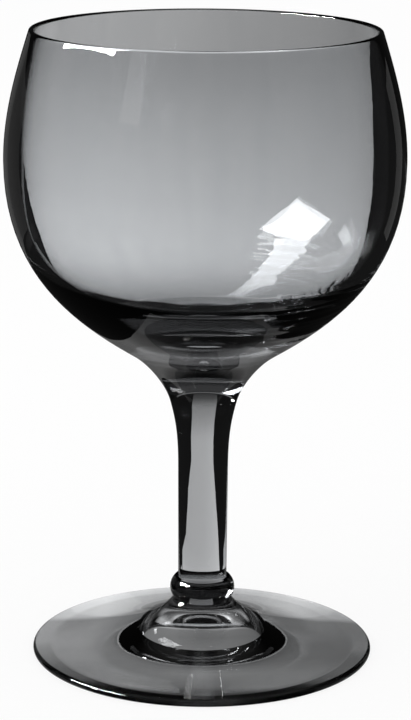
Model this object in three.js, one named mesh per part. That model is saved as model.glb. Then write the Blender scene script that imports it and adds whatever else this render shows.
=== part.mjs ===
// A water goblet of smoke-grey blown glass, made of four turned solids: a bowl, a drawn stem,
// a round collar and a foot. Each is fused to the next face to face.
// Millimetres, +Z up, with the origin under the centre of the foot, on the surface it stands on.
import * as THREE from "three";

// Bowl, with its heights measured up from the seam where it meets the stem
const BOWL_HEIGHT = 88;
const BOWL_RADIUS = 46.8;
const BOWL_WIDEST_HEIGHT = 57.5;
const BOWL_TURN_RADIUS = 17.7;
const BOWL_TURN_HEIGHT = 12.1;
const BOWL_TURN_SLOPE_DEGREES = 31.7;
const RIM_RADIUS = 40.8;
const RIM_LEAN_DEGREES = 17.5;
const LIP_THICKNESS = 1.3;
const WALL_THICKNESS = 3.8;
const INNER_WIDEST_HEIGHT = 58.5;
const INNER_LEAN_DEGREES = 11;
const FLOOR_THICKNESS = 21;

// Seam between the bowl and the stem
const SEAM_RADIUS = 7.95;
const SEAM_LEAN_DEGREES = 15.5;

// Stem, with its heights measured up from the collar
const STEM_LENGTH = 43.7;
const STEM_WAIST_RADIUS = 5.95;
const STEM_WAIST_HEIGHT = 25.7;
const STEM_LOWER_RADIUS = 5.8;

// Collar, a bead with a barrelled side
const COLLAR_LENGTH = 5.4;
const COLLAR_RADIUS = 7.75;
const COLLAR_SIDE_RADIUS = 3.8;

// Foot, with its heights measured up from the surface it stands on
const FOOT_HEIGHT = 12.9;
const FOOT_RADIUS = 40.8;
const FOOT_EDGE_THICKNESS = 1.8;
const FOOT_RIM_SLOPE_DEGREES = 5;
const FOOT_NECK_RADIUS = 7;
const FOOT_NECK_SLOPE_DEGREES = 56;
const FOOT_RING_WIDTH = 3.6;
const FOOT_HOLLOW_HEIGHT = 2;
const FOOT_HOLLOW_SLOPE_DEGREES = 6;
const POLISHED_MARK_RADIUS = 14;
const POLISHED_MARK_DEPTH = 5.5;

// How far each curve's handles reach, as shares of the distance between its ends
const SEAM_TO_TURN_SHARES = [0.25, 0.35];
const TURN_TO_WIDEST_SHARES = [0.31, 0.47];
const WIDEST_TO_RIM_SHARES = [0.35, 0.33];
const INNER_RIM_TO_WIDEST_SHARES = [0.33, 0.35];
const INNER_WIDEST_TO_FLOOR_SHARES = [0.48, 0.54];
const STEM_FLARE_SHARES = [0.45, 0.35];
const FOOT_TOP_SHARES = [0.5, 0.2];
const FOOT_HOLLOW_SHARES = [0.3, 0.4];
const POLISHED_MARK_SHARES = [0.3, 0.35];

// Facets round the axis, and along each stretch of the outlines
const SIDES = 60;
const SEAM_TO_TURN_STEPS = 7;
const TURN_TO_WIDEST_STEPS = 12;
const WIDEST_TO_RIM_STEPS = 8;
const LIP_STEPS = 5;
const INNER_RIM_TO_WIDEST_STEPS = 7;
const INNER_WIDEST_TO_FLOOR_STEPS = 14;
const STEM_FLARE_STEPS = 8;
const COLLAR_SIDE_STEPS = 9;
const FOOT_TOP_STEPS = 18;
const FOOT_EDGE_STEPS = 7;
const FOOT_HOLLOW_STEPS = 8;
const POLISHED_MARK_STEPS = 8;

const GLASS = { color: 0x74777a, roughness: 0.04, metalness: 0, transparent: true, opacity: 0.5 };

// Headings in the outline's plane, in degrees from straight outward
const UP = 90;
const DOWN = -90;
const OUTWARD = 0;
const INWARD = 180;

// A unit step along a heading
function heading(degrees) {
  const angle = THREE.MathUtils.degToRad(degrees);
  return new THREE.Vector2(Math.cos(angle), Math.sin(angle));
}

// A smooth curve that leaves one point along a heading and reaches another along a heading
function sweep(from, fromDegrees, to, toDegrees, [fromShare, toShare]) {
  const distance = from.distanceTo(to);
  const leaving = from.clone().addScaledVector(heading(fromDegrees), distance * fromShare);
  const arriving = to.clone().addScaledVector(heading(toDegrees), -distance * toShare);
  return new THREE.CubicBezierCurve(from, leaving, arriving, to);
}

// A round stretch about a centre, counter-clockwise
function roundStretch(centre, radius, fromDegrees, toDegrees) {
  const [start, end] = [fromDegrees, toDegrees].map(THREE.MathUtils.degToRad);
  return new THREE.EllipseCurve(centre.x, centre.y, radius, radius, start, end, false, 0);
}

// A straight stretch of outline, in one step
function straight(from, to) {
  return [new THREE.LineCurve(from, to), 1];
}

// The points of an outline whose stretches, each a curve and its steps, follow end to end
function outlineOf(stretches) {
  const start = stretches[0][0].getPoint(0);
  return [start, ...stretches.flatMap(([curve, steps]) => curve.getPoints(steps).slice(1))];
}

// A solid turned about the vertical axis, standing at a height
function turned(name, stretches, height) {
  const geometry = new THREE.LatheGeometry(outlineOf(stretches), SIDES);
  geometry.rotateX(Math.PI / 2);
  const mesh = new THREE.Mesh(geometry, new THREE.MeshStandardMaterial(GLASS));
  mesh.name = name;
  mesh.position.z = height;
  return mesh;
}

// Bowl: up the outside, over the round lip and down the inside to the middle of the floor
function makeBowl(height) {
  const base = new THREE.Vector2(0, 0);
  const seam = new THREE.Vector2(SEAM_RADIUS, 0);
  const turn = new THREE.Vector2(BOWL_TURN_RADIUS, BOWL_TURN_HEIGHT);
  const widest = new THREE.Vector2(BOWL_RADIUS, BOWL_WIDEST_HEIGHT);
  const lipRadius = LIP_THICKNESS / 2;
  const lip = new THREE.Vector2(RIM_RADIUS - lipRadius, BOWL_HEIGHT - lipRadius);
  const outerRim = lip.clone().addScaledVector(heading(RIM_LEAN_DEGREES), lipRadius);
  const innerRim = lip.clone().addScaledVector(heading(INWARD + INNER_LEAN_DEGREES), lipRadius);
  const innerWidest = new THREE.Vector2(BOWL_RADIUS - WALL_THICKNESS, INNER_WIDEST_HEIGHT);
  const floor = new THREE.Vector2(0, FLOOR_THICKNESS);
  const outerTop = UP + RIM_LEAN_DEGREES;
  const innerTop = DOWN + INNER_LEAN_DEGREES;
  const flare = sweep(seam, UP - SEAM_LEAN_DEGREES, turn, BOWL_TURN_SLOPE_DEGREES, SEAM_TO_TURN_SHARES);
  const belly = sweep(turn, BOWL_TURN_SLOPE_DEGREES, widest, UP, TURN_TO_WIDEST_SHARES);
  const shoulder = sweep(widest, UP, outerRim, outerTop, WIDEST_TO_RIM_SHARES);
  const roundLip = roundStretch(lip, lipRadius, RIM_LEAN_DEGREES, INWARD + INNER_LEAN_DEGREES);
  const innerShoulder = sweep(innerRim, innerTop, innerWidest, DOWN, INNER_RIM_TO_WIDEST_SHARES);
  const innerBelly = sweep(innerWidest, DOWN, floor, INWARD, INNER_WIDEST_TO_FLOOR_SHARES);
  return turned("bowl", [
    straight(base, seam),
    [flare, SEAM_TO_TURN_STEPS],
    [belly, TURN_TO_WIDEST_STEPS],
    [shoulder, WIDEST_TO_RIM_STEPS],
    [roundLip, LIP_STEPS],
    [innerShoulder, INNER_RIM_TO_WIDEST_STEPS],
    [innerBelly, INNER_WIDEST_TO_FLOOR_STEPS],
  ], height);
}

// Stem: a slight taper up to its waist, then a flare to the seam
function makeStem(height) {
  const base = new THREE.Vector2(0, 0);
  const lower = new THREE.Vector2(STEM_LOWER_RADIUS, 0);
  const waist = new THREE.Vector2(STEM_WAIST_RADIUS, STEM_WAIST_HEIGHT);
  const seam = new THREE.Vector2(SEAM_RADIUS, STEM_LENGTH);
  const top = new THREE.Vector2(0, STEM_LENGTH);
  const flare = sweep(waist, UP, seam, UP - SEAM_LEAN_DEGREES, STEM_FLARE_SHARES);
  return turned("stem", [
    straight(base, lower),
    straight(lower, waist),
    [flare, STEM_FLARE_STEPS],
    straight(seam, top),
  ], height);
}

// Collar: a bead whose side is an arc between its two flat faces
function makeCollar(height) {
  const middle = new THREE.Vector2(COLLAR_RADIUS - COLLAR_SIDE_RADIUS, COLLAR_LENGTH / 2);
  const rise = THREE.MathUtils.radToDeg(Math.asin(middle.y / COLLAR_SIDE_RADIUS));
  const side = roundStretch(middle, COLLAR_SIDE_RADIUS, -rise, rise);
  const base = new THREE.Vector2(0, 0);
  const top = new THREE.Vector2(0, COLLAR_LENGTH);
  return turned("collar", [
    straight(base, side.getPoint(0)),
    [side, COLLAR_SIDE_STEPS],
    straight(side.getPoint(1), top),
  ], height);
}

// Foot: from the polished mark out under the hollow to the ring it stands on, round the edge,
// and up the flared top to the neck that carries the collar
function makeFoot(height) {
  const edgeRadius = FOOT_EDGE_THICKNESS / 2;
  const edge = new THREE.Vector2(FOOT_RADIUS - edgeRadius, edgeRadius);
  const edgeTopDegrees = UP - FOOT_RIM_SLOPE_DEGREES;
  const markCentre = new THREE.Vector2(0, FOOT_HOLLOW_HEIGHT + POLISHED_MARK_DEPTH);
  const markEdge = new THREE.Vector2(POLISHED_MARK_RADIUS, FOOT_HOLLOW_HEIGHT);
  const ringInner = new THREE.Vector2(edge.x - FOOT_RING_WIDTH, 0);
  const ringOuter = new THREE.Vector2(edge.x, 0);
  const edgeTop = edge.clone().addScaledVector(heading(edgeTopDegrees), edgeRadius);
  const neck = new THREE.Vector2(FOOT_NECK_RADIUS, FOOT_HEIGHT);
  const top = new THREE.Vector2(0, FOOT_HEIGHT);
  const markFall = THREE.MathUtils.radToDeg(Math.atan2(POLISHED_MARK_DEPTH, POLISHED_MARK_RADIUS));
  const acrossTop = INWARD - FOOT_RIM_SLOPE_DEGREES;
  const upNeck = INWARD - FOOT_NECK_SLOPE_DEGREES;
  const mark = sweep(markCentre, OUTWARD, markEdge, -2 * markFall, POLISHED_MARK_SHARES);
  const hollow = sweep(markEdge, OUTWARD, ringInner, -FOOT_HOLLOW_SLOPE_DEGREES, FOOT_HOLLOW_SHARES);
  const roundEdge = roundStretch(edge, edgeRadius, DOWN, edgeTopDegrees);
  const flaredTop = sweep(edgeTop, acrossTop, neck, upNeck, FOOT_TOP_SHARES);
  return turned("foot", [
    [mark, POLISHED_MARK_STEPS],
    [hollow, FOOT_HOLLOW_STEPS],
    straight(ringInner, ringOuter),
    [roundEdge, FOOT_EDGE_STEPS],
    [flaredTop, FOOT_TOP_STEPS],
    straight(neck, top),
  ], height);
}

const collarBase = FOOT_HEIGHT;
const stemBase = collarBase + COLLAR_LENGTH;
const bowlBase = stemBase + STEM_LENGTH;

const goblet = new THREE.Group();
goblet.add(makeBowl(bowlBase), makeStem(stemBase), makeCollar(collarBase), makeFoot(0));

export default goblet;
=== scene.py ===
"""Dresses a packed water goblet in smoke-grey blown glass and stands it in a pale studio."""
import math

import bpy
from bpy.props import FloatProperty, FloatVectorProperty, PointerProperty
from mathutils import Matrix, Vector


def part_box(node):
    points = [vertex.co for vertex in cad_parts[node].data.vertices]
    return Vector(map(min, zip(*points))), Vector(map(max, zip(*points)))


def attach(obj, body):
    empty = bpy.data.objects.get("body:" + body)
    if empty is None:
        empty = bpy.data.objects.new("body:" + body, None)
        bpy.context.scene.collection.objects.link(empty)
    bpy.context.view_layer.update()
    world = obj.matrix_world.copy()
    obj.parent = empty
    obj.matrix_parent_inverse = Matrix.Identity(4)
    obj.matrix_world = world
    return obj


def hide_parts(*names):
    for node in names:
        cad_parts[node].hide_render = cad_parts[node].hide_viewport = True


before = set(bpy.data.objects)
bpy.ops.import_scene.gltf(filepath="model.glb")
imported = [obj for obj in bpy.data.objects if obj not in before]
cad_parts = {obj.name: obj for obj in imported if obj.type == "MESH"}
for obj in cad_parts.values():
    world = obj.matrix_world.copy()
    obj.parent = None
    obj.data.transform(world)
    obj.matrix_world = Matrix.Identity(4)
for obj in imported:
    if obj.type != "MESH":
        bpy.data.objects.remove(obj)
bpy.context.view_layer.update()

bl_info = {
    "name": "Blown Glass Goblet",
    "version": (1, 0, 0),
    "blender": (4, 5, 0),
    "location": "3D View > Sidebar > Goblet",
    "description": "Models a water goblet of blown glass and a pale studio to show it in",
    "category": "Add Mesh",
}

BOWL_LOW, BOWL_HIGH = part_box("bowl")
STEM_LOW, STEM_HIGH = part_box("stem")
COLLAR_LOW, COLLAR_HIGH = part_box("collar")
FOOT_LOW, FOOT_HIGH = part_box("foot")

MM = 0.001

# Facets round the axis, and along each stretch of an outline
SIDES = 192
STRETCH_STEPS = 20

# Points closer than this are welded, and edges softer than this many degrees are shaded smooth
WELD = 0.001 * MM
SMOOTH_ANGLE = 40

# The fused seams overlap by this, so that light always finds both faces
SEAM_LAP = 0.01 * MM

# A face is level where its normal's upright share is more than this
LEVEL_NORMAL = 0.999

# Lit paper stands this many millimetres behind the goblet for each side that it is seen from, in
# degrees turned about the axis. The high view looks further down, and has paper on the table alone.
BACK = 80
UPRIGHT_TURNS = (0, 90, -135)
HIGH_TURN = 45

# Where the ground finish of the standing ring turns into polish: two heights in millimetres
RING_FINISH = (0.02, 0.05)

# Where the cords in the bowl fade in: millimetres to its side, and heights at their foot and top
CORD_SIDE = (6, 24)
CORD_FOOT = (74, 80)
CORD_TOP = (98, 88)

# Light that passes through the whole bowl crosses the glass this often, and other light less
THROUGH_BOWL = 4
# More often than any light crosses it
MANY = 99

# Rows of lit paper: millimetres up it or away from the camera, its left and right edges, and how
# bright it is there, as one level or as several from its left edge to its right.
# Behind the bowl, seen through both its walls
BOWL_PAPER = (
    (-2, -63, 59, 0.95), (15, -63, 59, 0.97), (50, -63, 59, 1.0), (70, -63, 59, 1.1),
    (80, -64, 59, 1.09), (90, -70, 60, 1.02), (97, -78, 61, 0.93), (101, -95, 61.5, 0.87),
    (104, -119, 61.5, 0.82), (111, -103, 60, 0.7), (118, -85, 56, 0.57), (126, -76, 52, 0.46),
    (170, -70, 50, 0.46),
)
# Behind the rim, seen through its far wall alone
RIM_PAPER = (
    (116, -85, 62, 0.55, 0.52, 0.4), (126, -80, 62, 0.44, 0.46, 0.33),
    (170, -75, 62, 0.37, 0.4, 0.27),
)
# Painted reflection: lit paper behind the bowl, seen straight through both walls, in the shape of
# the bright reflection of a window low on the bowl's right, and its tail
PAINTED_REFLECTION_PAPER = (
    (80.5, 28, 28, 2.1), (87.5, 16.2, 35.7, 2.1), (90, 19.6, 38.5, 2.1),
    (95.6, 27.2, 27.2, 2.1),
)
PAINTED_REFLECTION_TAIL = ((4, -1.2, -0.4, 1.3), (83, 20.6, 31.9, 2.2))
# Behind the stem and its flare
STEM_PAPER = (
    (-2, -44, 49, 0.77), (2, -41, 46, 0.77), (6, -37, 43, 0.77), (9, -34, 40, 0.77),
    (12, -31, 38, 0.77), (15, -29, 37, 0.77), (17, -27, 34, 0.77), (21, -24, 30, 0.77),
    (25, -22, 26.5, 0.77), (38, -20, 25.5, 0.77), (42, -20, 24.5, 0.74), (53, -19, 20.5, 0.6),
    (61, -19, 17.5, 0.5), (90, -19, 14, 0.16), (112, -18, 13, 0.08),
)
# On the table behind the stem, and further back for the bowl and the rim in the high view
NEAR_TABLE = ((45, -30, 40, 1.1), (60, -36, 55, 0.85), (82, -44, 50, 0.77))
HIGH_TABLE = ((48, -25, 30, 0.9), (95, -50, 50, 0.9), (330, -80, 80, 0.9))
HIGH_RIM_TABLE = ((300, -75, 60, 0.62), (520, -105, 104, 0.55))
# On the table under the foot, seen only through the glass: a dark table top with painted shadow,
# darkest under the foot's front edge and low behind its middle, and bright further back
SHADED_TABLE_UNDER_FOOT = (
    (-37, -48, 48, 0.08), (-33, -48, 48, 0.09), (-30, -48, 48, 0.25, 0.19, 0.32),
    (-20, -48, 48, 0.15, 0.32, 0.22), (-10, -48, 48, 0.34, 0.25, 0.2),
    (0, -48, 48, 0.5, 0.2, 0.26), (14, -48, 48, 0.5, 0.24, 0.32),
    (17, -48, 48, 0.6, 0.95, 0.22, 0.75, 0.5), (25, -48, 48, 0.7, 1.12, 0.3, 1.05, 0.6),
    (30, -48, 48, 0.75, 1.2, 0.5, 1.15, 0.7), (45, -48, 48, 0.8, 1.2, 1.3, 1.26, 0.8),
)
# Seen only where the glass mirrors it inside
HAZE_PAPER = (
    (10, -48, 48, 0), (24, -48, 48, 0, 0, 0.6, 0.8, 0), (34, -48, 48, 0.3, 0.5, 0.1, 0.1, 0),
    (44, -48, 48, 0.5, 0.8, 0.2, 0.1, 0), (60, -48, 48, 0.6, 0.7, 0.4, 0.4, 0.4),
    (70, -48, 48, 1.5, 2.5, 1.1, 1.1, 1.1), (82, -48, 48, 0.3, 0.5, 0.7, 0.8, 0.9),
    (95, -48, 48, 0.2, 0.35, 0.9, 0.85, 0.5), (260, -48, 48, 0.2, 0.35, 0.9, 0.85, 0.5),
)
HAZE_TABLE = ((60, -6, 6, 0.3), (66, -10, 10, 1.8), (80, -16, 16, 2.0))
# Seen only where the glass mirrors it outside: the table, a paper upright behind it, and a dim
# strip of painted shade laid on the table where the goblet itself keeps the light off it
MIRRORED_TABLE = (
    (-31, -44, 45, 0.2), (0, -45, 45, 0.22), (40, -47, 49, 0.28), (60, -49, 52, 0.33),
    (95, -52, 56, 0.2), (150, -53, 57, 0.12), (220, -54, 58, 0.16), (300, -58, 60, 0.2),
)
MIRRORED_BACK = ((0, -60, 60, 0.2), (40, -60, 60, 0.22), (110, -60, 60, 0.22), (150, -60, 60, 0))
FAR_BACK = 300
MIRRORED_SHADE = ((-31, -16, 16, 0.08), (80, -24, 24, 0.07))
# How all lit paper's brightness changes from left to right, in millimetres from its middle
ACROSS = ((-120, 1.35), (-60, 1.31), (0, 1.0), (60, 0.88), (120, 0.85))
PAPER_COLUMNS = 16
# Sheets that would lie in one plane are set apart by this
PAPER_GAP = 0.2 * MM

# How much of the lit paper shows where the glass mirrors it inside
BOWL_SHARE = 0.05
STEM_SHARE = 0.03
FOOT_SHARE = 0.2

# Light that falls less steeply than this many degrees doesn't see the paper behind the mouth
MOUTH_STEEP = 17

# Dim cards whose reflections draw a grey line inside each dark edge: two turns and brightness.
# They stand this many millimetres away and are this high.
EDGE_CARDS = ((23, 37, 0.12), (37, 58, 0.08), (-51, -39, 0.13))
EDGE_DISTANCE = 300
EDGE_TOP = 150

# Windows: turn, corners (across and up, in millimetres), share of the window's light, and whether
# the glass sees it from inside (True) or by its outer reflections (False)
WINDOWS = (
    (104, ((-125, 455), (530, 525), (560, 1050), (-440, 1400)), 2.0, True),
    (104, ((-257, 562), (515, 425), (570, 780), (-420, 930)), 1.0, False),
    (136, ((-110, 370), (110, 370), (90, 640), (-90, 640)), 0.0055, False),
    (51, ((-140, 370), (140, 370), (140, 504), (-140, 504)), 0.08, True),
)
WINDOW_DISTANCE = 1000

# The floor's width in metres, and how much of what the camera sees of it is plain white
FLOOR_SIZE = 6
FLOOR_WHITE = 0.8

# Upward shares of a direction between which the dusk of the room turns into the paler ceiling
CEILING_RISE = (0.6, 0.85)

# The soft lamp's place and width, in metres
LAMP_PLACE = (-0.6, -0.4, 0.9)
LAMP_SIZE = 0.8

# Headings in an outline's plane, in degrees from straight outward
OUTWARD = 0
UP = 90
INWARD = 180
DOWN = -90

# How far each sweep of an outline keeps to its heading at its start and end, as shares of the
# distance between them
BASE_HOLD = (0.25, 0.35)
BELLY_HOLD = (0.31, 0.47)
SHOULDER_HOLD = (0.35, 0.33)
INNER_SHOULDER_HOLD = (0.33, 0.35)
CAVITY_HOLD = (0.48, 0.54)
FLARE_HOLD = (0.45, 0.35)
MARK_HOLD = (0.3, 0.35)
UNDERSIDE_HOLD = (0.3, 0.4)
FOOT_TOP_HOLD = (0.5, 0.2)


def millimetres(name, size, description):
    """A length property whose default is given in millimetres."""
    return FloatProperty(name=name, description=description, default=size * MM, min=0,
                         subtype="DISTANCE", unit="LENGTH", precision=5)


def degrees(name, size, description):
    """An angle property whose default is given in degrees."""
    return FloatProperty(name=name, description=description, default=math.radians(size),
                         subtype="ANGLE", unit="ROTATION")


def plain(name, value, description):
    """A property that is a bare number."""
    return FloatProperty(name=name, description=description, default=value, precision=4)


def to_linear(hex_colour):
    """The linear red, green and blue of an sRGB hex colour."""
    channels = [int(hex_colour[i:i + 2], 16) / 255 for i in (1, 3, 5)]
    return [c / 12.92 if c <= 0.04045 else ((c + 0.055) / 1.055) ** 2.4 for c in channels]


def colour(name, hex_colour, description):
    """A colour property whose default is an sRGB hex value."""
    return FloatVectorProperty(name=name, description=description, subtype="COLOR",
                               default=to_linear(hex_colour), min=0, max=1)


class GobletSizes(bpy.types.PropertyGroup):
    """The goblet's sizes that the frame's boxes don't give."""

    rim_radius: millimetres("Rim radius", 40.8, "Outer radius just under the lip")
    rim_lean: degrees("Rim lean", 17.5, "How far the wall leans in at the lip")
    lip: millimetres("Lip", 1.3, "Thickness of the fire-polished lip")
    widest_height: millimetres("Widest height", 119.5, "Height of the bowl's widest place")
    wall: millimetres("Wall", 3.8, "Thickness of the wall at the widest place")
    inner_widest_height: millimetres("Inner widest height", 120.5, "Height of the hollow's widest")
    inner_lean: degrees("Inner lean", 11, "How far the inside leans in at the lip")
    turn_radius: millimetres("Turn radius", 17.7, "Where the bowl's underside turns into the stem")
    turn_height: millimetres("Turn height", 74.1, "Height of that turn")
    turn_slope: degrees("Turn slope", 31.7, "Slope of the underside at that turn")
    floor: millimetres("Floor", 21, "Solid glass between the hollow and the stem's seam")
    seam_lean: degrees("Seam lean", 15.5, "How far the side leans out at the stem's seam")
    waist_radius: millimetres("Waist radius", 5.95, "Radius of the stem below its flare")
    waist_height: millimetres("Waist height", 44, "Height where the stem's flare starts")
    stem_lower_radius: millimetres("Lower stem", 5.8, "Radius of the stem on the collar")
    collar_side: millimetres("Collar side", 3.8, "Radius of the collar's barrelled side")
    neck_radius: millimetres("Neck", 7, "Radius of the foot's neck under the collar")
    neck_slope: degrees("Neck slope", 56, "How steeply the neck rises")
    edge: millimetres("Foot edge", 1.8, "Thickness of the foot's rounded edge")
    foot_slope: degrees("Foot slope", 5, "How much the foot's top rises from its edge")
    ring: millimetres("Standing ring", 3.6, "Width of the ring that the foot stands on")
    hollow: millimetres("Foot hollow", 2, "Height of the hollow under the foot")
    hollow_slope: degrees("Hollow slope", 6, "Slope of the hollow at the ring")
    mark_radius: millimetres("Mark radius", 14, "Radius of the polished mark under the foot")
    mark_depth: millimetres("Mark depth", 5.5, "Depth of the polished mark")


class GobletGlass(bpy.types.PropertyGroup):
    """How the glass is coloured and finished."""

    smoke: colour("Smoke", "#959698", "Colour that a deep block of the glass leaves in the light")
    density: plain("Density", 60, "How strongly a metre of the glass takes light")
    bead_density: plain("Bead density", 170, "The same for the collar, which is of richer glass")
    skin_pale: colour("Pale skin", "#f0f1f2", "Colour of the thin fire-polished skin")
    skin_dark: colour("Dark skin", "#e4e6e8", "Colour of the skin where richer glass runs")
    ior: plain("IOR", 1.5, "Refractive index of soda-lime glass")
    polish: plain("Polish", 0.0, "Roughness of the fire-polished surface")
    ground: plain("Ground", 0.06, "Roughness of the ring that was ground flat, and worn since")
    streak_length: millimetres("Streak length", 60, "Length of the streaks in the glass")
    streak_width: millimetres("Streak width", 9, "Width of the streaks in the glass")
    wave_length: millimetres("Wave length", 16, "Length of the soft waves that blowing left")
    wave_depth: millimetres("Wave depth", 0.04, "Depth of those waves")
    ripple_length: millimetres("Ripple length", 2.5, "Length of the fine ripples that tools left")
    ripple_depth: millimetres("Ripple depth", 0.001, "Depth of those ripples")
    cord_length: millimetres("Cord length", 24, "Length of the cords low on one side of the bowl")
    cord_height: millimetres("Cord height", 2.2, "Height of those cords")
    cord_depth: millimetres("Cord depth", 0.7, "Depth of those cords")


class GobletStudio(bpy.types.PropertyGroup):
    """The stage, its light and its camera."""

    backdrop: colour("Backdrop", "#ffffff", "Colour of the backdrop and of the lit paper")
    floor: colour("Floor", "#f4f4f4", "Colour of the paper under the goblet")
    sky: plain("Sky", 1.0, "Strength of the soft light from all round")
    lamp: plain("Lamp", 1.5, "Watts of the soft lamp over the goblet")
    window: plain("Window", 110, "How much brighter than the backdrop the window is")
    dusk: plain("Dusk", 0.012, "Brightness of the unlit room round the lit paper")
    ceiling: plain("Ceiling", 0.2, "Brightness of the room high up")
    camera_distance: millimetres("Camera distance", 620.8, "From the goblet's axis, level")
    camera_height: millimetres("Camera height", 225.6, "Above the floor")
    camera_pitch: degrees("Camera pitch", 13.925, "How far the camera looks down")
    camera_yaw: degrees("Camera yaw", -0.036, "How far the camera looks to the side")
    camera_roll: degrees("Camera roll", 0.42, "How far the camera leans")
    focal_length: plain("Focal length", 135.35, "In millimetres, on a 36 mm film")


def heading(angle):
    """A unit step along a heading."""
    turn = math.radians(angle)
    return Vector((math.cos(turn), math.sin(turn)))


def sweep(start, start_angle, end, end_angle, shares):
    """A Bezier stretch that leaves start along a heading and reaches end along a heading."""
    distance = (end - start).length
    return (start, start + heading(start_angle) * distance * shares[0],
            end - heading(end_angle) * distance * shares[1], end)


def straight(start, end):
    """A straight Bezier stretch."""
    return (start, start.lerp(end, 1 / 3), start.lerp(end, 2 / 3), end)


def round_stretch(centre, radius, start_angle, end_angle):
    """Bezier stretches round a centre, each a right angle at most."""
    count = math.ceil(abs(end_angle - start_angle) / 90)
    step = (end_angle - start_angle) / count
    reach = 4 / 3 * math.tan(math.radians(step) / 4) * radius
    stretches = []
    for i in range(count):
        a, b = start_angle + i * step, start_angle + (i + 1) * step
        start, end = centre + heading(a) * radius, centre + heading(b) * radius
        stretches.append((start, start + heading(a + 90) * reach,
                          end - heading(b + 90) * reach, end))
    return stretches


def deselect_all():
    """Leaves nothing selected, because an operator acts on all that is."""
    if bpy.context.object and bpy.context.object.mode != "OBJECT":
        bpy.ops.object.mode_set(mode="OBJECT")
    bpy.ops.object.select_all(action="DESELECT")


def turned_piece(name, stretches):
    """Draws an outline as a Bezier curve from axis to axis and spins it into a closed solid."""
    deselect_all()
    bpy.ops.curve.primitive_bezier_curve_add(location=(0, 0, 0))
    curve = bpy.context.object
    spline = curve.data.splines[0]
    spline.resolution_u = STRETCH_STEPS
    spline.bezier_points.add(len(stretches) - 1)
    for point in spline.bezier_points:
        point.handle_left_type = point.handle_right_type = "FREE"
    for i, (start, leaving, arriving, end) in enumerate(stretches):
        first, second = spline.bezier_points[i], spline.bezier_points[i + 1]
        first.co, first.handle_right = (start.x, 0, start.y), (leaving.x, 0, leaving.y)
        second.co, second.handle_left = (end.x, 0, end.y), (arriving.x, 0, arriving.y)
    bpy.ops.object.convert(target="MESH")
    piece = bpy.context.object
    piece.name = piece.data.name = name
    bpy.ops.object.mode_set(mode="EDIT")
    bpy.ops.mesh.select_all(action="SELECT")
    bpy.ops.mesh.spin(steps=SIDES, angle=2 * math.pi, center=(0, 0, 0), axis=(0, 0, 1))
    bpy.ops.mesh.select_all(action="SELECT")
    bpy.ops.mesh.remove_doubles(threshold=WELD)
    bpy.ops.mesh.normals_make_consistent(inside=False)
    bpy.ops.object.mode_set(mode="OBJECT")
    bpy.ops.object.shade_smooth_by_angle(angle=math.radians(SMOOTH_ANGLE))
    return piece


def mark_seams(piece, heights):
    """Flags the flat faces where a piece is fused to the next, for its material to read."""
    flag = piece.data.attributes.new("seam", "FLOAT", "FACE")
    for face in piece.data.polygons:
        level = any(abs(face.center.z - height) < SEAM_LAP for height in heights)
        flag.data[face.index].value = float(level and abs(face.normal.z) > LEVEL_NORMAL)


def add_node(tree, kind, settings=None, **inputs):
    """Adds a node with its settings, and links or sets its inputs by name, or as i0, i1, ..."""
    node = tree.nodes.new(kind)
    for key, value in (settings or {}).items():
        setattr(node, key, value)
    for key, value in inputs.items():
        place = int(key[1:]) if key[1:].isdigit() else key.replace("_", " ")
        socket = node.inputs[place]
        if isinstance(value, bpy.types.NodeSocket):
            tree.links.new(value, socket)
        else:
            socket.default_value = value
    return node


def times(tree, first, second):
    """The product of two values of a node tree."""
    product = add_node(tree, "ShaderNodeMath", {"operation": "MULTIPLY"}, i0=first, i1=second)
    return product.outputs[0]


def faded(tree, value, stops):
    """None before the first stop, in millimetres, all past the second, with a soft change."""
    return add_node(tree, "ShaderNodeMapRange", {"interpolation_type": "SMOOTHSTEP"}, Value=value,
                    i1=stops[0] * MM, i2=stops[1] * MM, i3=0, i4=1).outputs[0]


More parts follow.
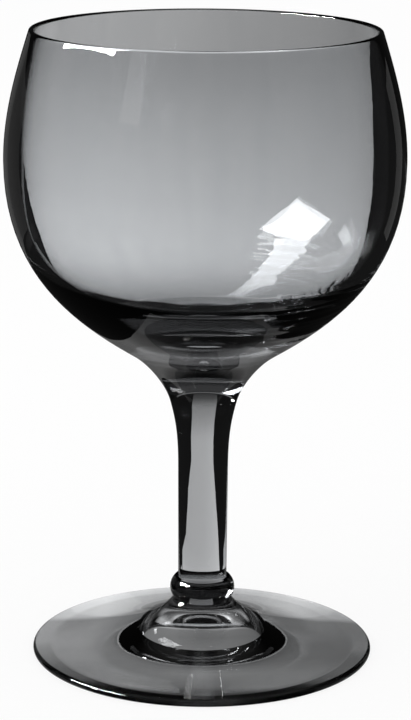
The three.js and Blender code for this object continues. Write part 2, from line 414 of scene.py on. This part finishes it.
def blown_glass(name, glass, density):
    """Smoke-grey soda-lime glass, blown and fire polished: clear, mirror smooth and dark in depth.

    Faint upright streaks of richer glass, soft waves from blowing and a fine tool ripple keep
    its reflections from looking machined. Cords run round it low on the right, and the standing
    ring is ground, and worn nearly smooth."""
    material = bpy.data.materials.new(name)
    material.use_nodes = True
    tree = material.node_tree
    tree.nodes.clear()
    place = add_node(tree, "ShaderNodeTexCoord").outputs["Object"]
    across_streaks, along_streaks = 1 / glass.streak_width, 1 / glass.streak_length
    along = add_node(tree, "ShaderNodeMapping", Vector=place,
                     Scale=(across_streaks, across_streaks, along_streaks))
    streaks = add_node(tree, "ShaderNodeTexNoise", Vector=along.outputs[0], Scale=1, Detail=3,
                       Roughness=0.6, Distortion=0.8)
    skin = add_node(tree, "ShaderNodeMix", {"data_type": "RGBA"}, i0=streaks.outputs["Fac"],
                    i6=(*glass.skin_pale, 1), i7=(*glass.skin_dark, 1))
    waves = add_node(tree, "ShaderNodeTexNoise", Vector=place, Scale=1 / glass.wave_length,
                     Detail=1)
    ripples = add_node(tree, "ShaderNodeTexNoise", Vector=place, Scale=1 / glass.ripple_length,
                       Detail=2)
    wavy = add_node(tree, "ShaderNodeBump", Height=waves.outputs["Fac"], Distance=glass.wave_depth)
    rippled = add_node(tree, "ShaderNodeBump", Height=ripples.outputs["Fac"],
                       Distance=glass.ripple_depth, Normal=wavy.outputs[0])
    where = add_node(tree, "ShaderNodeSeparateXYZ", i0=place)
    height = where.outputs["Z"]
    ringed = add_node(tree, "ShaderNodeMapping", Vector=place,
                      Scale=(1 / glass.cord_length, 1 / glass.cord_length, 1 / glass.cord_height))
    cords = add_node(tree, "ShaderNodeTexNoise", Vector=ringed.outputs[0], Scale=1, Detail=1)
    aside = faded(tree, where.outputs["X"], CORD_SIDE)
    low_down = times(tree, faded(tree, height, CORD_FOOT), faded(tree, height, CORD_TOP))
    corded = add_node(tree, "ShaderNodeBump", Distance=glass.cord_depth, Normal=rippled.outputs[0],
                      Height=times(tree, cords.outputs["Fac"], times(tree, aside, low_down)))
    rough = add_node(tree, "ShaderNodeMapRange", Value=height, i1=RING_FINISH[0] * MM,
                     i2=RING_FINISH[1] * MM, i3=glass.ground, i4=glass.polish)
    surface = add_node(tree, "ShaderNodeBsdfPrincipled", Base_Color=skin.outputs[2],
                       Roughness=rough.outputs[0], IOR=glass.ior, Transmission_Weight=1,
                       Normal=corded.outputs[0])
    seam = add_node(tree, "ShaderNodeAttribute", {"attribute_name": "seam"})
    open_seam = add_node(tree, "ShaderNodeBsdfTransparent")
    mix = add_node(tree, "ShaderNodeMixShader", i0=seam.outputs["Fac"],
                   i1=surface.outputs[0], i2=open_seam.outputs[0])
    depth = add_node(tree, "ShaderNodeVolumeAbsorption", Color=(*glass.smoke, 1),
                     Density=density)
    add_node(tree, "ShaderNodeOutputMaterial", Surface=mix.outputs[0], Volume=depth.outputs[0])
    return material


def finish_piece(piece, node, glass):
    """Gives a piece its glass and its place in the frame."""
    piece.data.materials.clear()
    density = glass.bead_density if node == "collar" else glass.density
    piece.data.materials.append(blown_glass(f"smoke_soda_lime_{node}", glass, density))
    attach(piece, "root")
    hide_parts(node)


def bowl_outline(sizes):
    """Up the outside of the bowl, over its lip and down the inside to the middle of its floor."""
    base, seam = Vector((0, BOWL_LOW.z)), Vector((STEM_HIGH.x, BOWL_LOW.z))
    turn = Vector((sizes.turn_radius, sizes.turn_height))
    widest = Vector((BOWL_HIGH.x, sizes.widest_height))
    half_lip = sizes.lip / 2
    lip = Vector((sizes.rim_radius - half_lip, BOWL_HIGH.z - half_lip))
    rim_lean, inner_lean = math.degrees(sizes.rim_lean), math.degrees(sizes.inner_lean)
    slope, seam_lean = math.degrees(sizes.turn_slope), math.degrees(sizes.seam_lean)
    outer_rim = lip + heading(rim_lean) * half_lip
    inner_rim = lip + heading(INWARD + inner_lean) * half_lip
    inner_widest = Vector((BOWL_HIGH.x - sizes.wall, sizes.inner_widest_height))
    floor = Vector((0, BOWL_LOW.z + sizes.floor))
    return [
        straight(base, seam),
        sweep(seam, UP - seam_lean, turn, slope, BASE_HOLD),
        sweep(turn, slope, widest, UP, BELLY_HOLD),
        sweep(widest, UP, outer_rim, UP + rim_lean, SHOULDER_HOLD),
        *round_stretch(lip, half_lip, rim_lean, INWARD + inner_lean),
        sweep(inner_rim, DOWN + inner_lean, inner_widest, DOWN, INNER_SHOULDER_HOLD),
        sweep(inner_widest, DOWN, floor, INWARD, CAVITY_HOLD),
    ]


def stem_outline(sizes):
    """Out over the collar, up the taper to the waist, up the flare and in along the seam."""
    low, high = STEM_LOW.z - SEAM_LAP, STEM_HIGH.z + SEAM_LAP
    lower = Vector((sizes.stem_lower_radius, low))
    waist = Vector((sizes.waist_radius, sizes.waist_height))
    seam = Vector((STEM_HIGH.x, high))
    seam_lean = math.degrees(sizes.seam_lean)
    return [
        straight(Vector((0, low)), lower),
        straight(lower, waist),
        sweep(waist, UP, seam, UP - seam_lean, FLARE_HOLD),
        straight(seam, Vector((0, high))),
    ]


def collar_outline(sizes):
    """A bead: flat below and above, with an arc for its side."""
    low, high = COLLAR_LOW.z - SEAM_LAP, COLLAR_HIGH.z
    middle = Vector((COLLAR_HIGH.x - sizes.collar_side, (low + high) / 2))
    rise = math.degrees(math.asin((high - low) / 2 / sizes.collar_side))
    side = round_stretch(middle, sizes.collar_side, -rise, rise)
    return [
        straight(Vector((0, low)), side[0][0]),
        *side,
        straight(side[-1][-1], Vector((0, high))),
    ]


def foot_outline(sizes):
    """From the polished mark out under the hollow, round the edge and up to the neck."""
    half_edge = sizes.edge / 2
    edge = Vector((FOOT_HIGH.x - half_edge, FOOT_LOW.z + half_edge))
    slope, neck_slope = math.degrees(sizes.foot_slope), math.degrees(sizes.neck_slope)
    mark = Vector((0, sizes.hollow + sizes.mark_depth))
    mark_edge = Vector((sizes.mark_radius, sizes.hollow))
    mark_fall = math.degrees(math.atan2(sizes.mark_depth, sizes.mark_radius))
    ring_inner, ring_outer = Vector((edge.x - sizes.ring, 0)), Vector((edge.x, 0))
    edge_top = edge + heading(UP - slope) * half_edge
    neck = Vector((sizes.neck_radius, FOOT_HIGH.z))
    return [
        sweep(mark, OUTWARD, mark_edge, -2 * mark_fall, MARK_HOLD),
        sweep(mark_edge, OUTWARD, ring_inner, -math.degrees(sizes.hollow_slope), UNDERSIDE_HOLD),
        straight(ring_inner, ring_outer),
        *round_stretch(edge, half_edge, DOWN, UP - slope),
        sweep(edge_top, INWARD - slope, neck, INWARD - neck_slope, FOOT_TOP_HOLD),
        straight(neck, Vector((0, FOOT_HIGH.z))),
    ]


class GOBLET_OT_bowl(bpy.types.Operator):
    """Model the blown bowl"""

    bl_idname = "goblet.bowl"
    bl_label = "Bowl"

    def execute(self, context):
        scene = context.scene
        piece = turned_piece("blown_bowl", bowl_outline(scene.goblet_sizes))
        mark_seams(piece, [BOWL_LOW.z])
        finish_piece(piece, "bowl", scene.goblet_glass)
        return {"FINISHED"}


class GOBLET_OT_stem(bpy.types.Operator):
    """Model the drawn stem"""

    bl_idname = "goblet.stem"
    bl_label = "Stem"

    def execute(self, context):
        scene = context.scene
        piece = turned_piece("drawn_stem", stem_outline(scene.goblet_sizes))
        mark_seams(piece, [STEM_LOW.z - SEAM_LAP, STEM_HIGH.z + SEAM_LAP])
        finish_piece(piece, "stem", scene.goblet_glass)
        return {"FINISHED"}


class GOBLET_OT_collar(bpy.types.Operator):
    """Model the bead collar"""

    bl_idname = "goblet.collar"
    bl_label = "Collar"

    def execute(self, context):
        scene = context.scene
        piece = turned_piece("bead_collar", collar_outline(scene.goblet_sizes))
        mark_seams(piece, [COLLAR_LOW.z - SEAM_LAP, COLLAR_HIGH.z])
        finish_piece(piece, "collar", scene.goblet_glass)
        return {"FINISHED"}


class GOBLET_OT_foot(bpy.types.Operator):
    """Model the spun foot"""

    bl_idname = "goblet.foot"
    bl_label = "Foot"

    def execute(self, context):
        scene = context.scene
        piece = turned_piece("spun_foot", foot_outline(scene.goblet_sizes))
        mark_seams(piece, [FOOT_HIGH.z])
        finish_piece(piece, "foot", scene.goblet_glass)
        return {"FINISHED"}


def levels_at(stops, value):
    """What a table of (value, level...) stops gives between two of them."""
    before = stops[0]
    for stop in stops:
        if value <= stop[0]:
            break
        before = stop
    span = stop[0] - before[0]
    share = min((value - before[0]) / span, 1) if span else 0
    return [a + (b - a) * share for a, b in zip(before[1:], stop[1:])]


def first_look(tree):
    """One for light that no matt surface has scattered, so that the cards never light the floor."""
    path = add_node(tree, "ShaderNodeLightPath")
    return add_node(tree, "ShaderNodeMath", {"operation": "LESS_THAN"},
                    i0=path.outputs["Diffuse Depth"], i1=0.5).outputs[0]


def lit_paper(name, studio, strength=1.0, least=0, most=MANY, direct=1.0, mirrored=1.0, steep=0):
    """Paper whose level attribute lights it, clear to light that it isn't meant for.

    Only light that crossed the glass from least to most times sees it, at an angle to the paper
    of steep degrees or more: the direct share of it where that light came straight through, and
    the mirrored share where the glass mirrored it."""
    material = bpy.data.materials.new(name)
    material.use_nodes = True
    tree = material.node_tree
    tree.nodes.clear()
    path = add_node(tree, "ShaderNodeLightPath")
    over = add_node(tree, "ShaderNodeMath", {"operation": "GREATER_THAN"},
                    i0=path.outputs["Transmission Depth"], i1=least - 0.5)
    under = add_node(tree, "ShaderNodeMath", {"operation": "LESS_THAN"},
                     i0=path.outputs["Transmission Depth"], i1=most + 0.5)
    share = add_node(tree, "ShaderNodeMapRange", Value=path.outputs["Glossy Depth"],
                     i1=0, i2=1, i3=direct, i4=mirrored)
    facing = add_node(tree, "ShaderNodeLayerWeight", Blend=0.5)
    above = add_node(tree, "ShaderNodeMath", {"operation": "LESS_THAN"},
                     i0=facing.outputs["Facing"], i1=1 - math.sin(math.radians(steep)))
    meant = times(tree, times(tree, over.outputs[0], under.outputs[0]),
                  times(tree, share.outputs[0], first_look(tree)))
    shown = times(tree, meant, above.outputs[0])
    level = add_node(tree, "ShaderNodeAttribute", {"attribute_name": "level"})
    light = add_node(tree, "ShaderNodeEmission", Color=(*studio.backdrop, 1),
                     Strength=times(tree, level.outputs["Fac"], strength))
    clear = add_node(tree, "ShaderNodeBsdfTransparent")
    mix = add_node(tree, "ShaderNodeMixShader", i0=shown, i1=clear.outputs[0], i2=light.outputs[0])
    add_node(tree, "ShaderNodeOutputMaterial", Surface=mix.outputs[0])
    return material


def lay_paper(name, rows, material, turn, place, glossy=False, transmission=False):
    """Lit paper through rows of edges and levels, that only the glass sees."""
    deselect_all()
    bpy.ops.mesh.primitive_grid_add(x_subdivisions=PAPER_COLUMNS, y_subdivisions=len(rows) - 1,
                                    size=1, location=(0, 0, 0))
    paper = bpy.context.object
    paper.name = name
    level = paper.data.attributes.new("level", "FLOAT", "POINT")
    spin = Matrix.Rotation(math.radians(turn), 3, "Z")
    for vertex in paper.data.vertices:
        along, left, right, *bright = rows[round((vertex.co.y + 0.5) * (len(rows) - 1))]
        share = vertex.co.x + 0.5
        across = left + (right - left) * share
        stops = [(i / max(len(bright) - 1, 1), value) for i, value in enumerate(bright)]
        level.data[vertex.index].value = levels_at(stops, share)[0] * levels_at(ACROSS, across)[0]
        vertex.co = spin @ place(across * MM, along * MM)
    return hide_from_camera(paper, material, glossy, transmission)


def hide_from_camera(card, material, glossy, transmission):
    """Leaves a card to be seen by the glass alone, by mirroring or by looking through."""
    card.data.materials.append(material)
    card.visible_camera = card.visible_diffuse = card.visible_shadow = False
    card.visible_volume_scatter = False
    card.visible_glossy, card.visible_transmission = glossy, transmission
    return card


def flat_card(name, corners, bright, material, glossy=False, transmission=False):
    """A flat, even card with four corners."""
    deselect_all()
    bpy.ops.mesh.primitive_plane_add(size=1, location=(0, 0, 0))
    card = bpy.context.object
    card.name = name
    level = card.data.attributes.new("level", "FLOAT", "POINT")
    for vertex, corner in zip(card.data.vertices, corners):
        level.data[vertex.index].value = bright
        vertex.co = corner
    return hide_from_camera(card, material, glossy, transmission)


class GOBLET_OT_stage(bpy.types.Operator):
    """Make the floor, backdrop light and camera"""

    bl_idname = "goblet.stage"
    bl_label = "Stage"

    def execute(self, context):
        scene = context.scene
        studio = scene.goblet_studio
        self.make_floor(studio)
        self.make_world(scene, studio)
        self.make_paper(studio)
        self.make_windows(studio)
        self.make_camera(scene, studio)
        scene.view_settings.view_transform = "Standard"
        return {"FINISHED"}

    def make_floor(self, studio):
        """Paper under the goblet, nearly plain white to the camera."""
        deselect_all()
        bpy.ops.mesh.primitive_plane_add(size=FLOOR_SIZE, location=(0, 0, 0))
        floor = bpy.context.object
        floor.name = "studio_floor"
        floor.visible_glossy = floor.visible_transmission = False
        material = bpy.data.materials.new("matt_paper")
        material.use_nodes = True
        tree = material.node_tree
        tree.nodes.clear()
        path = add_node(tree, "ShaderNodeLightPath")
        paper = add_node(tree, "ShaderNodeBsdfDiffuse", Color=(*studio.floor, 1))
        white = add_node(tree, "ShaderNodeEmission", Color=(*studio.backdrop, 1), Strength=1)
        share = times(tree, path.outputs["Is Camera Ray"], FLOOR_WHITE)
        mix = add_node(tree, "ShaderNodeMixShader", i0=share,
                       i1=paper.outputs[0], i2=white.outputs[0])
        add_node(tree, "ShaderNodeOutputMaterial", Surface=mix.outputs[0])
        floor.data.materials.append(material)

    def make_world(self, scene, studio):
        """Soft light, a white backdrop for the camera, and a dim room for the glass to see."""
        world = bpy.data.worlds.new("soft_studio")
        scene.world = world
        world.use_nodes = True
        tree = world.node_tree
        tree.nodes.clear()
        path = add_node(tree, "ShaderNodeLightPath")
        through = add_node(tree, "ShaderNodeMath", {"operation": "MAXIMUM"},
                           i0=path.outputs["Is Glossy Ray"], i1=path.outputs["Is Transmission Ray"])
        seen = times(tree, through.outputs[0], first_look(tree))
        soft = add_node(tree, "ShaderNodeBackground", Color=(1, 1, 1, 1), Strength=studio.sky)
        backdrop = add_node(tree, "ShaderNodeBackground", Color=(*studio.backdrop, 1), Strength=1)
        upward = add_node(tree, "ShaderNodeSeparateXYZ",
                          i0=add_node(tree, "ShaderNodeTexCoord").outputs["Generated"])
        room = add_node(tree, "ShaderNodeMapRange", {"interpolation_type": "SMOOTHSTEP"},
                        Value=upward.outputs["Z"], i1=CEILING_RISE[0], i2=CEILING_RISE[1],
                        i3=studio.dusk, i4=studio.ceiling)
        dusk = add_node(tree, "ShaderNodeBackground", Color=(1, 1, 1, 1), Strength=room.outputs[0])
        shown = add_node(tree, "ShaderNodeMixShader", i0=path.outputs["Is Camera Ray"],
                         i1=soft.outputs[0], i2=backdrop.outputs[0])
        mix = add_node(tree, "ShaderNodeMixShader", i0=seen,
                       i1=shown.outputs[0], i2=dusk.outputs[0])
        add_node(tree, "ShaderNodeOutputWorld", Surface=mix.outputs[0])

    def make_paper(self, studio):
        """Lit paper behind and under the goblet, for each side that it is seen from."""
        bowl = lit_paper("paper_behind_bowl", studio, least=THROUGH_BOWL, mirrored=BOWL_SHARE)
        stem = lit_paper("paper_behind_stem", studio, most=THROUGH_BOWL - 1, mirrored=STEM_SHARE)
        table = lit_paper("paper_on_table", studio, mirrored=STEM_SHARE)
        foot = lit_paper("paper_under_foot", studio, mirrored=FOOT_SHARE)
        haze = lit_paper("paper_in_haze", studio, most=THROUGH_BOWL - 1, direct=0)
        mirrored = lit_paper("paper_mirrored", studio)
        mouth = lit_paper("paper_behind_mouth", studio, most=THROUGH_BOWL - 1,
                          mirrored=STEM_SHARE, steep=MOUTH_STEEP)

        def upright(layer):
            return lambda across, along: Vector((across, BACK * MM + layer * PAPER_GAP, along))

        def far_back(across, along):
            return Vector((across, FAR_BACK * MM, along))

        def lying(layer):
            return lambda across, along: Vector((across, along, -layer * PAPER_GAP))

        for turn in UPRIGHT_TURNS:
            lay_paper(f"bowl_paper_{turn}", BOWL_PAPER, bowl, turn, upright(0), transmission=True)
            lay_paper(f"rim_paper_{turn}", RIM_PAPER, stem, turn, upright(1), transmission=True)
            lay_paper(f"stem_paper_{turn}", STEM_PAPER, stem, turn, upright(2), transmission=True)
            lay_paper(f"near_table_{turn}", NEAR_TABLE, table, turn, lying(3), transmission=True)
        # Painted reflection: cards that whiten the window's reflection low on the bowl, and its
        # tail, for the front view alone
        lay_paper("painted_reflection_card", PAINTED_REFLECTION_PAPER, bowl, 0, upright(-2), transmission=True)
        lay_paper("painted_reflection_tail_card", PAINTED_REFLECTION_TAIL, bowl, 0, upright(-1), transmission=True)
        lay_paper("haze_paper", HAZE_PAPER, haze, 0, upright(3), transmission=True)
        lay_paper("haze_table", HAZE_TABLE, haze, 0, lying(2), transmission=True)
        lay_paper("high_table", HIGH_TABLE, bowl, HIGH_TURN, lying(4), transmission=True)
        lay_paper("high_rim_table", HIGH_RIM_TABLE, mouth, HIGH_TURN, lying(5), transmission=True)
        # A dark table with painted shadow under the foot, seen only through the glass
        lay_paper("shaded_table_under_foot", SHADED_TABLE_UNDER_FOOT, foot, 0, lying(1), transmission=True)
        # Painted shade: a dim strip over the mirrored table where the goblet keeps the light off it
        lay_paper("mirrored_shade", MIRRORED_SHADE, mirrored, 0, lying(0.5), glossy=True)
        lay_paper("mirrored_back", MIRRORED_BACK, mirrored, 0, far_back, glossy=True)
        lay_paper("mirrored_table", MIRRORED_TABLE, mirrored, 0, lying(1), glossy=True)
        for view in (*UPRIGHT_TURNS, HIGH_TURN):
            for i, (start, end, bright) in enumerate(EDGE_CARDS):
                sides = [Matrix.Rotation(math.radians(view + side), 3, "Z")
                         @ Vector((0, EDGE_DISTANCE * MM, 0)) for side in (start, end)]
                corners = [side + Vector((0, 0, height * MM))
                           for height in (0, EDGE_TOP) for side in sides]
                flat_card(f"edge_card_{view}_{i}", corners, bright, mirrored, glossy=True)

    def make_windows(self, studio):
        """Bright windows for the glass to mirror, and a soft lamp for the paper."""
        inner = lit_paper("window_seen_inside", studio, strength=studio.window, least=1)
        outer = lit_paper("window_seen_outside", studio, strength=studio.window, most=0)
        for turn, corners, share, inside in WINDOWS:
            spin = Matrix.Rotation(math.radians(turn), 3, "Z")
            low_left, low_right, high_right, high_left = [
                spin @ Vector((across, WINDOW_DISTANCE, up)) * MM for across, up in corners]
            flat_card(f"window_{turn}", (low_left, low_right, high_left, high_right), share,
                      inner if inside else outer, glossy=True, transmission=inside)
        deselect_all()
        bpy.ops.object.light_add(type="AREA", location=LAMP_PLACE)
        lamp = bpy.context.object
        lamp.name = "soft_lamp"
        lamp.data.size = LAMP_SIZE
        lamp.data.energy = studio.lamp
        aim = Vector((0, 0, BOWL_HIGH.z / 2)) - lamp.location
        lamp.rotation_euler = aim.to_track_quat("-Z", "Y").to_euler()
        lamp.visible_glossy = lamp.visible_transmission = False

    def make_camera(self, scene, studio):
        """The camera of the photograph."""
        deselect_all()
        pitch = math.radians(90) - studio.camera_pitch
        bpy.ops.object.camera_add(location=(0, -studio.camera_distance, studio.camera_height),
                                  rotation=(pitch, 0, studio.camera_yaw))
        camera = bpy.context.object
        camera.rotation_euler.rotate_axis("Z", studio.camera_roll)
        camera.data.lens = studio.focal_length
        scene.camera = camera


class GOBLET_PT_panel(bpy.types.Panel):
    """Lists the goblet's pieces, sizes and glass"""

    bl_idname = "GOBLET_PT_panel"
    bl_label = "Blown Glass Goblet"
    bl_space_type = "VIEW_3D"
    bl_region_type = "UI"
    bl_category = "Goblet"

    def draw(self, context):
        layout = self.layout
        for operator in OPERATORS:
            layout.operator(operator.bl_idname)
        for group_name in GROUPS:
            group = getattr(context.scene, group_name)
            box = layout.box()
            for key in group.__annotations__:
                box.prop(group, key)


GROUPS = {"goblet_sizes": GobletSizes, "goblet_glass": GobletGlass, "goblet_studio": GobletStudio}
OPERATORS = (GOBLET_OT_bowl, GOBLET_OT_stem, GOBLET_OT_collar, GOBLET_OT_foot, GOBLET_OT_stage)


def register():
    for kind in (*GROUPS.values(), *OPERATORS, GOBLET_PT_panel):
        bpy.utils.register_class(kind)
    for name, group in GROUPS.items():
        setattr(bpy.types.Scene, name, PointerProperty(type=group))


def unregister():
    for name in GROUPS:
        delattr(bpy.types.Scene, name)
    for kind in reversed((*GROUPS.values(), *OPERATORS, GOBLET_PT_panel)):
        bpy.utils.unregister_class(kind)


def main():
    register()
    bpy.ops.goblet.bowl()
    bpy.ops.goblet.stem()
    bpy.ops.goblet.collar()
    bpy.ops.goblet.foot()
    bpy.ops.goblet.stage()


if __name__ == "__main__":
    main()
